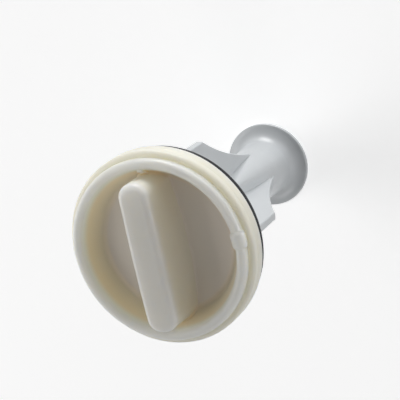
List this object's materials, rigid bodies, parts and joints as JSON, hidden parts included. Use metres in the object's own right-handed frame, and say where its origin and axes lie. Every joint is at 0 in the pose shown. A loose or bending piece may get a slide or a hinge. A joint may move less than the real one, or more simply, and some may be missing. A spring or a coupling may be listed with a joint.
{
  "type": "washing machine drain filter plug",
  "caption": "Round drain filter plug with a grip bar across its dished cap, a rubber seal ring behind the flange and a webbed filter insert that ends in a hollow bell.",
  "frame": {"origin": "centre of the bell's foot, on the surface the plug stands on", "axes": "+Z along the plug's axis from the bell to the cap, +X along the grip bar towards the small rib in the bowl, +Y completes a right-handed frame"},
  "size_m": [0.066, 0.066, 0.106],
  "materials": {
    "cap_plastic": "satin ivory moulding, slightly translucent",
    "seal_rubber": "matt black",
    "insert_plastic": "satin cool grey moulding"
  },
  "bodies": {
    "root": {"cap": "cap_plastic", "seal_ring": "seal_rubber", "filter_insert": "insert_plastic"}
  },
  "joints": []
}
